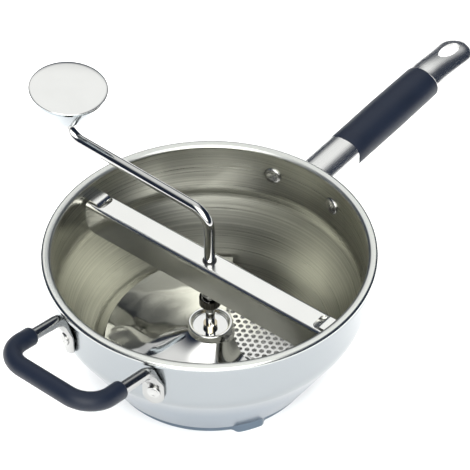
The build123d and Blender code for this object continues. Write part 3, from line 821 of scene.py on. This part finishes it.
def slot_cutter():
    """Egg-shaped prism through the end cap."""
    outline = []
    for i in range(48):
        angle = 2 * pi * i / 48
        wide = SLOT_HALF_WIDTH * (1 + SLOT_EGG * cos(angle))
        outline.append((SLOT_CENTRE + SLOT_HALF_LENGTH * cos(angle), wide * sin(angle)))
    rows = [[Vector((x, y, z)) for x, y in outline] for z in (-20, 20)]
    return placed(skin(rows, caps=True), handle_frame())


def helper_line():
    """Centre line of the helper handle from foot to foot."""
    foot_x = -(WALL_R + HELPER_TUBE_R + 0.6) * cos(asin(HELPER_Y / (WALL_R + 4.5)))
    corners = [(foot_x, HELPER_Y, FOOT_TIP_Z), (foot_x, HELPER_Y, HELPER_BEND_Z),
            (HELPER_X, HELPER_Y, HELPER_Z)]
    corners += [(x, -y, z) for x, y, z in reversed(corners)]
    return rounded(corners, [9, 17, 17, 9], 12)


def outward_at(point):
    """Direction away from the bowl's axis, in the level plane."""
    return Vector((point.x, point.y, 0)).normalized()


def helper_shape():
    """Tube whose two ends are pressed flat and lie on the wall, with rounded tips."""
    corners = helper_line()
    line = []
    for a, b in zip(corners, corners[1:]):
        steps = max(1, int((b - a).length / 0.8))
        line += [a.lerp(b, i / steps) for i in range(steps)]
    line.append(corners[-1])
    rows = []
    side = None
    for i, point in enumerate(line):
        heading = (line[min(i + 1, len(line) - 1)] - line[max(i - 1, 0)]).normalized()
        if side is None:
            side = heading.cross(outward_at(point)).normalized()
        side = (side - heading * side.dot(heading)).normalized()
        rise = side.cross(heading)
        above = point.z - FOOT_TIP_Z
        near_foot = abs(point.x) < 101 and above < 30
        flat = 1 - smooth((above - 14) / 12) if near_foot else 0.0
        half_wide = HELPER_TUBE_R + (FOOT_HALF_WIDE - HELPER_TUBE_R) * flat
        half_thick = HELPER_TUBE_R + (FOOT_HALF_THICK - HELPER_TUBE_R) * flat
        tip = 1.0
        if near_foot and above < 6.5:
            tip = sqrt(max(0.0004, 1 - ((6.5 - above) / 6.6) ** 2))
        centre = point
        if flat > 0:
            away = outward_at(point)
            seat = away * (WALL_R + 1.65) + Vector((0, 0, point.z))
            centre = point.lerp(seat, flat)
            rise = rise.lerp(away * (1 if rise.dot(away) > 0 else -1), flat).normalized()
            side = heading.cross(rise).normalized() * (1 if heading.cross(rise).dot(side) > 0 else -1)
        section = oval(half_wide * tip, half_thick, 28, 2.0 + flat)
        rows.append([centre + side * u + rise * v for u, v in section])
    return skin(rows, caps=True)


def sleeve_shape():
    """Soft sleeve on the outer part of the helper handle, with rounded ends."""
    line = [p for p in helper_line() if p.x < HELPER_SLEEVE_X - 1]
    start = Vector((HELPER_SLEEVE_X, line[0].y, line[0].z - (HELPER_SLEEVE_X - line[0].x) * 0.196))
    heading = (line[0] - start).normalized()
    first = [start + heading * x for x in (0, 0.35, 1.1)]
    last = [Vector((p.x, -p.y, p.z)) for p in reversed(first)]
    path = first + line + last
    radii = [5.0, 5.6, SLEEVE_R] + [SLEEVE_R] * len(line) + [SLEEVE_R, 5.6, 5.0]
    return sweep(path, lambda i: circle(radii[i], 32))


def rivet_shape(head_r, head_height, grip, tail_r, tail_height):
    """Rivet along X: domed head on the bowl's inside at -X, and a dished head outside."""
    edge = 0.6
    arc = [radians(90 * i / 7) for i in range(8)]
    head = [(head_r * sin(a), -edge - (head_height - edge) * cos(a)) for a in arc]
    lip = tail_r - 0.9
    tail = rounded([(tail_r, grip), (tail_r, grip + tail_height), (lip, grip + tail_height)], [0.5], 4)
    for i in range(1, 9):
        share = 1 - i / 8
        tail.append(Vector((lip * share, grip + tail_height - 0.9 * (1 - share ** 2), 0)))
    outline = head + [(head_r, 0.0), (2.5, 0.0), (2.5, grip)] + [(p.x, p.y) for p in tail]
    shape = lathe([(max(r, 0.0), x) for r, x in outline], 48)
    return placed(shape, Matrix(((0, 0, 1, 0), (1, 0, 0, 0), (0, 1, 0, 0), (0, 0, 0, 1))))


def rivet_tree():
    """Rivets set in a row round the bowl, each pointing along its own radius."""
    numbers = ("First Angle", "Step", "Radius", "Height")
    tree, given = geometry_tree("rivet_row", numbers, Rivet="Object", Count="Int")
    index = node(tree, "GeometryNodeInputIndex").outputs[0]
    angle = node(tree, "ShaderNodeMath", {0: index, 1: given["Step"], 2: given["First Angle"]},
            operation="MULTIPLY_ADD").outputs[0]
    turn = node(tree, "ShaderNodeCombineXYZ", {"Z": angle})
    start = node(tree, "ShaderNodeCombineXYZ", {"X": given["Radius"], "Z": given["Height"]})
    around = node(tree, "ShaderNodeVectorRotate", {"Vector": start.outputs[0], "Rotation": turn.outputs[0]},
            rotation_type="EULER_XYZ")
    row = node(tree, "GeometryNodePoints", {"Count": given["Count"], "Position": around.outputs[0]})
    source = node(tree, "GeometryNodeObjectInfo", {"Object": given["Rivet"]})
    set_in = node(tree, "GeometryNodeInstanceOnPoints", {
        "Points": row.outputs[0], "Instance": source.outputs["Geometry"], "Rotation": turn.outputs[0]})
    return finish_tree(tree, set_in.outputs[0], given["Material"])


def add_shape(name, shape, look, body, slot, replaced, **settings):
    """Piece that is one shape in one finish."""
    return add_piece(name, mesh_from(name, shape), finish(look), body, slot, replaced, **settings)


def rivet_row(name, shape, first, step, count, height, replaced):
    """Piece with a row of rivets on the bowl's wall."""
    pattern = bpy.data.objects.new(name + "_pattern", mesh_from(name + "_pattern", shape))
    bpy.context.scene.collection.objects.link(pattern)
    mesh = grown(name, rivet_tree(), {
        "Rivet": pattern, "Material": finish("rivet"), "Count": count, "First Angle": radians(first),
        "Step": radians(step), "Radius": (WALL_R - SHEET) * MM, "Height": height * MM})
    bpy.data.objects.remove(pattern)
    add_piece(name, outward(mesh), finish("rivet"), "hopper", "polished_steel", replaced, sharp=50)


# ---------------------------------------------------------------- spring

def spring_tree():
    """Wire coil about Z."""
    tree, given = geometry_tree("wire_coil", ("Turns", "Radius", "Wire Radius", "Low", "Height", "Turned"))
    coil = node(tree, "GeometryNodeCurveSpiral", {
        "Resolution": 40, "Rotations": given["Turns"], "Start Radius": given["Radius"],
        "End Radius": given["Radius"],
        "Height": given["Height"]})
    move = node(tree, "ShaderNodeCombineXYZ", {"Z": given["Low"]})
    turn = node(tree, "ShaderNodeCombineXYZ", {"Z": given["Turned"]})
    lifted = node(tree, "GeometryNodeTransform", {
        "Geometry": coil.outputs[0], "Translation": move.outputs[0], "Rotation": turn.outputs[0]})
    wire = node(tree, "GeometryNodeCurvePrimitiveCircle", {"Radius": given["Wire Radius"], "Resolution": 10})
    drawn = node(tree, "GeometryNodeCurveToMesh", {
        "Curve": lifted.outputs[0], "Profile Curve": wire.outputs["Curve"], "Fill Caps": True})
    return finish_tree(tree, drawn.outputs[0], given["Material"])


# ---------------------------------------------------------------- settings

class MillSizes(bpy.types.PropertyGroup):
    """Sizes that a maker would change."""
    hole_radius: bpy.props.FloatProperty(name="Hole Radius", description="Radius of the disc's perforations",
        default=1.5 * MM, min=0.5 * MM, max=4 * MM, unit="LENGTH", precision=5)
    hole_pitch: bpy.props.FloatProperty(name="Hole Pitch",
            description="Distance between the perforations' centres",
        default=4.8 * MM, min=2 * MM, max=12 * MM, unit="LENGTH", precision=5)
    burr_height: bpy.props.FloatProperty(name="Burr Height",
            description="How far the perforations' edges stand up",
        default=0.55 * MM, min=0, max=1 * MM, unit="LENGTH", precision=5)
    rivet_radius: bpy.props.FloatProperty(name="Rivet Radius",
            description="Radius of the long handle's rivet heads",
        default=6 * MM, min=3 * MM, max=9 * MM, unit="LENGTH", precision=5)
    wire_radius: bpy.props.FloatProperty(name="Spring Wire", description="Radius of the spring's wire",
        default=0.6 * MM, min=0.3 * MM, max=1 * MM, unit="LENGTH", precision=5)
    coil_radius: bpy.props.FloatProperty(name="Coil Radius", description="Mean radius of the spring",
        default=5.2 * MM, min=4 * MM, max=6 * MM, unit="LENGTH", precision=5)
    coil_turns: bpy.props.FloatProperty(name="Coil Turns", description="Turns in half of the spring",
        default=3.25, min=1, max=8)


class MillFinishes(bpy.types.PropertyGroup):
    """Colours and finishes that a maker would change."""
    steel_colour: bpy.props.FloatVectorProperty(name="Bowl Steel", description="Colour of the satin bowl",
        default=(0.55, 0.55, 0.485), min=0, max=1, subtype="COLOR")
    outside_colour: bpy.props.FloatVectorProperty(name="Bowl Outside",
            description="Colour of the bowl's outside",
        default=(0.30, 0.32, 0.335), min=0, max=1, subtype="COLOR")
    # Painted highlight on the rim's top, paler than the rest of the bowl's steel.
    rim_highlight_colour: bpy.props.FloatVectorProperty(name="Rim", description="Colour of the bowl's rim",
        default=(0.74, 0.75, 0.72), min=0, max=1, subtype="COLOR")
    bar_colour: bpy.props.FloatVectorProperty(name="Crossbar", description="Colour of the crossbar and lugs",
        default=(0.86, 0.86, 0.84), min=0, max=1, subtype="COLOR")
    chrome_colour: bpy.props.FloatVectorProperty(name="Bright Steel",
            description="Colour of the polished parts",
        default=(0.78, 0.78, 0.77), min=0, max=1, subtype="COLOR")
    brass_colour: bpy.props.FloatVectorProperty(name="Brass", description="Colour of the hub's collar",
        default=(0.58, 0.52, 0.40), min=0, max=1, subtype="COLOR")
    grip_colour: bpy.props.FloatVectorProperty(name="Grip", description="Colour of the soft sleeves",
        default=(0.0035, 0.0065, 0.015), min=0, max=1, subtype="COLOR")
    floor_colour: bpy.props.FloatVectorProperty(name="Floor", description="Colour of the studio floor",
        default=(0.93, 0.93, 0.93), min=0, max=1, subtype="COLOR")
    brushing: bpy.props.FloatProperty(name="Brushing", description="Depth of the satin lines", default=1.0,
            min=0,
        max=3, subtype="FACTOR")


# ---------------------------------------------------------------- operators

class MILL_OT_stage(bpy.types.Operator):
    """Camera, soft lights and floor"""
    bl_idname = "mill.stage"
    bl_label = "Studio"

    def execute(self, context):
        scene = context.scene
        azimuth, elevation, distance = radians(VIEW_AZIMUTH), radians(VIEW_ELEVATION), VIEW_DISTANCE
        ahead = Vector((-sin(azimuth) * cos(elevation), cos(azimuth) * cos(elevation), -sin(elevation)))
        right = Vector((cos(azimuth), sin(azimuth), 0))
        above = right.cross(ahead)
        aim = Vector((0, 0, RIM_Z * MM)) + right * VIEW_ASIDE + above * VIEW_ABOVE
        data = bpy.data.cameras.new("camera")
        data.lens = VIEW_LENS
        data.sensor_width = 36
        data.clip_start = 0.05
        camera = bpy.data.objects.new("camera", data)
        turn = Matrix((right, above, -ahead)).transposed().to_4x4()
        camera.matrix_world = Matrix.Translation(aim - ahead * distance) @ turn
        scene.collection.objects.link(camera)
        scene.camera = camera
        scene.view_settings.view_transform = "Standard"

        self.add_floor(scene)
        self.add_light(scene, "overhead", (0.0, 0.0, 1.6), (0, 0, 0), 2.4, OVERHEAD_WATTS)
        for name, angle in (("left_fill", 200), ("front_fill", 290), ("right_fill", 20), ("back_fill", 110)):
            place = polar(900, angle, 450) * MM
            self.add_light(scene, name, place, (0, 0, -0.1), 0.8, FILL_WATTS)
        self.paint_sky(scene, ahead, right)
        return {"FINISHED"}

    def paint_sky(self, scene, ahead, right):
        """Soft surroundings: a bright band overhead from front to back, and dim walls to both sides."""
        world = bpy.data.worlds.new("studio")
        scene.world = world
        world.use_nodes = True
        tree = world.node_tree
        look = node(tree, "ShaderNodeTexCoord").outputs["Generated"]
        height = node(tree, "ShaderNodeSeparateXYZ", {0: look}).outputs["Z"]

        def along(direction):
            return node(tree, "ShaderNodeVectorMath", {0: look, 1: direction},
                    operation="DOT_PRODUCT").outputs["Value"]

        def ease(value, low, high):
            return node(tree, "ShaderNodeMapRange", {"Value": value, "From Min": low, "From Max": high},
                        interpolation_type="SMOOTHSTEP").outputs[0]

        def math(operation, first, second):
            return math_node(tree, operation, first, second)

        band = ease(math("ABSOLUTE", along(right), 0.0), 0.58, 0.22)
        front = math("MULTIPLY", ease(height, 0.36, 0.64), 1.1)
        behind = math("MULTIPLY", ease(along(Vector((-ahead.x, -ahead.y, 0))), 0.05, 0.5),
                ease(height, 0.0, 0.22))
        glow = math("MULTIPLY", band, math("ADD", front, math("MULTIPLY", behind, 4.2)))
        tone = node(tree, "ShaderNodeVectorMath", {0: (1.0, 1.0, 0.965)}, operation="SCALE")
        tree.links.new(glow, tone.inputs["Scale"])
        dim = node(tree, "ShaderNodeVectorMath", {0: tone.outputs[0], 1: (0.025, 0.035, 0.06)},
                operation="ADD")
        tree.links.new(dim.outputs[0], tree.nodes["Background"].inputs["Color"])
        tree.nodes["Background"].inputs["Strength"].default_value = 1.0

    def add_floor(self, scene):
        """Wide level floor."""
        points = [(x * FLOOR_HALF, y * FLOOR_HALF, 0) for x, y in ((-1, -1), (1, -1), (1, 1), (-1, 1))]
        floor = bpy.data.objects.new("floor", mesh_from("floor", (points, [(0, 1, 2, 3)])))
        scene.collection.objects.link(floor)
        material, tree, shader = new_finish("floor_paper", scene.mill_finishes.floor_colour, 0.0, 0.7)
        paper = noise(tree, object_place(tree), 90, 3.0)
        tone = list(scene.mill_finishes.floor_colour)
        tree.links.new(tinted(tree, paper, [c * 0.985 for c in tone], tone), shader.inputs["Base Color"])
        floor.data.materials.append(material)

    def add_light(self, scene, name, place, target, size, power):
        """Square soft light, not shown by polished parts."""
        data = bpy.data.lights.new(name, "AREA")
        data.size = size
        data.energy = power
        lamp = bpy.data.objects.new(name, data)
        lamp.location = place
        lamp.rotation_euler = (Vector(target) - Vector(place)).to_track_quat("-Z", "Y").to_euler()
        lamp.visible_glossy = False
        scene.collection.objects.link(lamp)


class MILL_OT_bowl(bpy.types.Operator):
    """Drawn bowl with its rim, sloping floor and pocketed collar"""
    bl_idname = "mill.bowl"
    bl_label = "Bowl"

    def execute(self, context):
        add_shape("hopper_bowl", bowl_shape(), "bowl", "hopper", "satin_steel",
                  ["bowl"], sharp=50)
        return {"FINISHED"}


class MILL_OT_disc(bpy.types.Operator):
    """Milling disc with raised perforations"""
    bl_idname = "mill.disc"
    bl_label = "Milling Disc"

    def execute(self, context):
        sizes = context.scene.mill_sizes
        mesh = grown("grater_disc", perforation_tree(), {
            "Pitch": sizes.hole_pitch, "Hole Radius": sizes.hole_radius, "Inner Limit": HOLES_FROM_R * MM,
            "Outer Limit": HOLES_TO_R * MM,
            "Disc Radius": DISC_R * MM, "Bore": (POST_R + BORE_PLAY) * MM, "Low": DISC_LOW * MM,
            "Thickness": DISC_SHEET * MM,
            "Burr": sizes.burr_height, "Material": finish("disc")})
        add_piece("grater_disc", outward(mesh), finish("disc"), "hopper", "satin_steel", ["milling_disc"],
                sharp=40)
        return {"FINISHED"}


class MILL_OT_crank(bpy.types.Operator):
    """Crank rod, hub and helical blade"""
    bl_idname = "mill.crank"
    bl_label = "Crank and Blade"

    def execute(self, context):
        add_shape("bent_crank", crank_shape(), "rod", "crank", "polished_steel",
                  ["crank_rod"])
        add_shape("pressed_hub", hub_shape(), "chrome", "crank", "polished_steel",
                  ["blade_hub"])
        blade = joined(blade_shape(), hem_shape())
        add_shape("helical_blade", blade, "blade", "crank", "polished_steel",
                  ["blade"], bevel=0.25)
        return {"FINISHED"}


class MILL_OT_knob(bpy.types.Operator):
    """Mushroom knob: flared shell and domed cap"""
    bl_idname = "mill.knob"
    bl_label = "Knob"

    def execute(self, context):
        add_shape("knob_shell", knob_shell_shape(), "knob", "knob", "polished_steel",
                  ["knob_base"])
        add_shape("knob_dome", knob_cap_shape(), "chrome", "knob", "polished_steel",
                  ["knob_cap"])
        return {"FINISHED"}


class MILL_OT_long_handle(bpy.types.Operator):
    """Neck, soft grip and end cap of the long handle"""
    bl_idname = "mill.long_handle"
    bl_label = "Long Handle"

    def execute(self, context):
        add_shape("creased_neck", neck_shape(), "handle", "hopper", "satin_steel",
                  ["handle_neck"], sharp=14)
        add_shape("long_grip", grip_shape(), "grip", "hopper", "soft_grip",
                  ["handle_grip"])
        cap = bpy.data.objects.new("slotted_cap", mesh_from("slotted_cap", cap_shape()))
        cutter = bpy.data.objects.new("slot_cutter", mesh_from("slot_cutter", slot_cutter()))
        for made in (cap, cutter):
            context.scene.collection.objects.link(made)
        cut = cap.modifiers.new("slot", "BOOLEAN")
        cut.object = cutter
        cut.operation = "DIFFERENCE"
        cut.solver = "EXACT"
        mesh = bpy.data.meshes.new_from_object(cap.evaluated_get(context.evaluated_depsgraph_get()))
        bpy.data.objects.remove(cap)
        bpy.data.objects.remove(cutter)
        if not mesh.polygons:
            raise RuntimeError("the end cap came out empty")
        add_piece("slotted_cap", mesh, finish("handle"), "hopper", "satin_steel", ["handle_end_cap"],
                bevel=0.5)
        return {"FINISHED"}


class MILL_OT_helper_handle(bpy.types.Operator):
    """Bent tube of the helper handle and its soft sleeve"""
    bl_idname = "mill.helper_handle"
    bl_label = "Helper Handle"

    def execute(self, context):
        add_shape("helper_tube", helper_shape(), "tube", "hopper", "satin_steel",
                  ["helper_handle"], sharp=60)
        add_shape("helper_grip", sleeve_shape(), "grip", "hopper", "soft_grip",
                  ["helper_sleeve"], sharp=60)
        return {"FINISHED"}


class MILL_OT_rivets(bpy.types.Operator):
    """Domed rivets of both handles"""
    bl_idname = "mill.rivets"
    bl_label = "Rivets"

    def execute(self, context):
        head = context.scene.mill_sizes.rivet_radius / MM
        rivet_row("wall_rivets", rivet_shape(head, *WALL_RIVET), -HANDLE_RIVET_ANGLE,
                  2 * HANDLE_RIVET_ANGLE, 2, HANDLE_RIVET_Z, ["handle_rivets"])
        offset = degrees(asin(FOOT_RIVET_Y / (WALL_R + 3.2)))
        rivet_row("foot_rivets", rivet_shape(*FOOT_RIVET), 180 - offset, 2 * offset, 2,
                  HELPER_RIVET_Z, ["helper_rivets"])
        return {"FINISHED"}


class MILL_OT_spring(bpy.types.Operator):
    """Pressure spring in two halves, which shorten with the crossbar and the cup"""
    bl_idname = "mill.spring"
    bl_label = "Spring"

    def execute(self, context):
        sizes = context.scene.mill_sizes
        wire = sizes.wire_radius
        low, high = SEAT_TOP * MM + wire, SPRING_TOP * MM - wire
        half = (high - low) / 2
        shared = {"Turns": sizes.coil_turns, "Radius": sizes.coil_radius, "Wire Radius": wire, "Height": half,
                  "Material": finish("spring")}
        tree = spring_tree()
        lower = grown("spring_lower", tree, {**shared, "Low": low, "Turned": 0.0})
        turned = (sizes.coil_turns % 1) * 2 * pi
        upper = grown("spring_upper", tree, {**shared, "Low": low + half, "Turned": turned})
        lower = add_piece("spring_lower", lower, finish("spring"), "spring_seat", "spring_steel",
                ["pressure_spring"])
        upper = add_piece("spring_upper", upper, finish("spring"), "bridge", "spring_steel")
        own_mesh(lower)
        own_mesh(upper)
        return {"FINISHED"}


class MILL_OT_dress_frame(bpy.types.Operator):
    """Finishes of the parts that keep the frame's own shape"""
    bl_idname = "mill.dress_frame"
    bl_label = "Frame Finishes"

    def execute(self, context):
        looks = {
            "lug_rear": "bar", "lug_front": "bar", "handle_bracket": "handle", "handle_core": "handle",
            # The spring cup and seat ring take the near-black steel, which paints the shade under the
            # crossbar.
            "crossbar": "bar", "crossbar_bush": "nylon", "spring_cup": "dark", "seat_ring": "dark",
            "drive_pin": "rod", "hub_collar": "brass", "knob_retainer": "spring", "knob_bush": "nylon",
        }
        for name, look in looks.items():
            slots = frame["nodes"][name].material_slots
            if not slots:
                raise RuntimeError(f"{name} has no material slot")
            for slot in slots:
                slot.material = finish(look)
        return {"FINISHED"}


class MILL_PT_builder(bpy.types.Panel):
    """Sizes, finishes and steps of the food mill"""
    bl_idname = "MILL_PT_builder"
    bl_label = "Food Mill"
    bl_space_type = "VIEW_3D"
    bl_region_type = "UI"
    bl_category = "Food Mill"

    def draw(self, context):
        for settings in (context.scene.mill_sizes, context.scene.mill_finishes):
            box = self.layout.box()
            for name in settings.__annotations__:
                box.prop(settings, name)
        for step in STEPS:
            self.layout.operator(step.bl_idname)


STEPS = (MILL_OT_stage, MILL_OT_bowl, MILL_OT_disc, MILL_OT_crank, MILL_OT_knob, MILL_OT_long_handle,
         MILL_OT_helper_handle, MILL_OT_rivets, MILL_OT_spring, MILL_OT_dress_frame)
CLASSES = (MillSizes, MillFinishes, *STEPS, MILL_PT_builder)


def register():
    for each in CLASSES:
        bpy.utils.register_class(each)
    bpy.types.Scene.mill_sizes = bpy.props.PointerProperty(type=MillSizes)
    bpy.types.Scene.mill_finishes = bpy.props.PointerProperty(type=MillFinishes)


def unregister():
    del bpy.types.Scene.mill_finishes
    del bpy.types.Scene.mill_sizes
    for each in reversed(CLASSES):
        bpy.utils.unregister_class(each)


def main():
    register()
    for step in STEPS:
        group, name = step.bl_idname.split(".")
        getattr(getattr(bpy.ops, group), name)()


if __name__ == "__main__":
    main()
